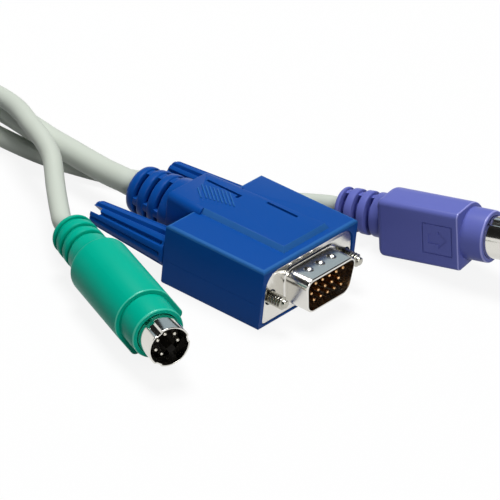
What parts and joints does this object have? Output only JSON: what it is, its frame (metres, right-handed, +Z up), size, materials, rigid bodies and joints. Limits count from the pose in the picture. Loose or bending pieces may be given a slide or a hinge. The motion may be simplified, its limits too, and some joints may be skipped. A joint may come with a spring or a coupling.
{
  "type": "kvm cable",
  "caption": "Coiled cable for a keyboard, video and mouse switch: blue video plug with thumbscrews, green and purple round plugs on their own tails, one video plug at the far end.",
  "frame": {"origin": "middle of the base of the first blue plug's hood block, on the surface that the cable lies on", "axes": "-Y is the blue plug's mating direction, +X its right seen from the front, +Z up"},
  "size_m": [0.1104, 0.2703, 0.0203],
  "materials": {
    "blue_plastic": "moulded blue PVC, satin",
    "green_plastic": "moulded green PVC, satin",
    "purple_plastic": "moulded purple PVC, satin",
    "black_plastic": "black connector moulding",
    "bright_metal": "bright nickel-plated steel",
    "pin_metal": "plated contact pins",
    "cable_jacket": "ivory-grey PVC cable jacket",
    "tie_nylon": "natural nylon strap"
  },
  "bodies": {
    "cable": {"video_hood": "blue_plastic", "video_flange_shell": "bright_metal", "video_insulator": "black_plastic", "far_hood": "blue_plastic", "far_flange_shell": "bright_metal", "far_insulator": "black_plastic", "video_insulator_pin_1_1": "pin_metal", "video_insulator_pin_1_2": "pin_metal", "video_insulator_pin_1_3": "pin_metal", "video_insulator_pin_1_4": "pin_metal", "video_insulator_pin_1_5": "pin_metal", "video_insulator_pin_2_1": "pin_metal", "video_insulator_pin_2_2": "pin_metal", "video_insulator_pin_2_3": "pin_metal", "video_insulator_pin_2_4": "pin_metal", "video_insulator_pin_2_5": "pin_metal", "video_insulator_pin_3_1": "pin_metal", "video_insulator_pin_3_2": "pin_metal", "video_insulator_pin_3_3": "pin_metal", "video_insulator_pin_3_4": "pin_metal", "video_insulator_pin_3_5": "pin_metal", "green_plug_body": "green_plastic", "green_shell": "bright_metal", "green_insulator": "black_plastic", "green_pin_1": "pin_metal", "green_pin_2": "pin_metal", "green_pin_3": "pin_metal", "green_pin_4": "pin_metal", "green_pin_5": "pin_metal", "green_pin_6": "pin_metal", "purple_plug_body": "purple_plastic", "purple_shell": "bright_metal", "purple_insulator": "black_plastic", "purple_pin_1": "pin_metal", "purple_pin_2": "pin_metal", "purple_pin_3": "pin_metal", "purple_pin_4": "pin_metal", "purple_pin_5": "pin_metal", "purple_pin_6": "pin_metal", "video_tail": "cable_jacket", "green_tail": "cable_jacket", "purple_tail": "cable_jacket", "cable_junction": "cable_jacket", "trunk_start": "cable_jacket", "trunk_coil": "cable_jacket", "trunk_end": "cable_jacket", "coil_tie": "tie_nylon"},
    "video_left_thumbscrew": {"video_left_knob": "blue_plastic", "video_left_screw": "bright_metal"},
    "video_right_thumbscrew": {"video_right_knob": "blue_plastic", "video_right_screw": "bright_metal"},
    "far_left_thumbscrew": {"far_left_knob": "blue_plastic", "far_left_screw": "bright_metal"},
    "far_right_thumbscrew": {"far_right_knob": "blue_plastic", "far_right_screw": "bright_metal"}
  },
  "joints": [
    {"name": "video_left_screw_turn", "type": "hinge", "parent": "cable", "child": "video_left_thumbscrew", "pos_m": [-0.0125, 0, 0.0067], "axis": [0, -1, 0], "continuous": true},
    {"name": "far_left_screw_turn", "type": "hinge", "parent": "cable", "child": "far_left_thumbscrew", "pos_m": [-0.05923, 0.0821, 0.0067], "axis": [0.2079, -0.9781, 0], "continuous": true},
    {"name": "video_right_screw_turn", "type": "hinge", "parent": "cable", "child": "video_right_thumbscrew", "pos_m": [0.0125, 0, 0.0067], "axis": [0, -1, 0], "continuous": true},
    {"name": "far_right_screw_turn", "type": "hinge", "parent": "cable", "child": "far_right_thumbscrew", "pos_m": [-0.03477, 0.0873, 0.0067], "axis": [0.2079, -0.9781, 0], "continuous": true}
  ]
}
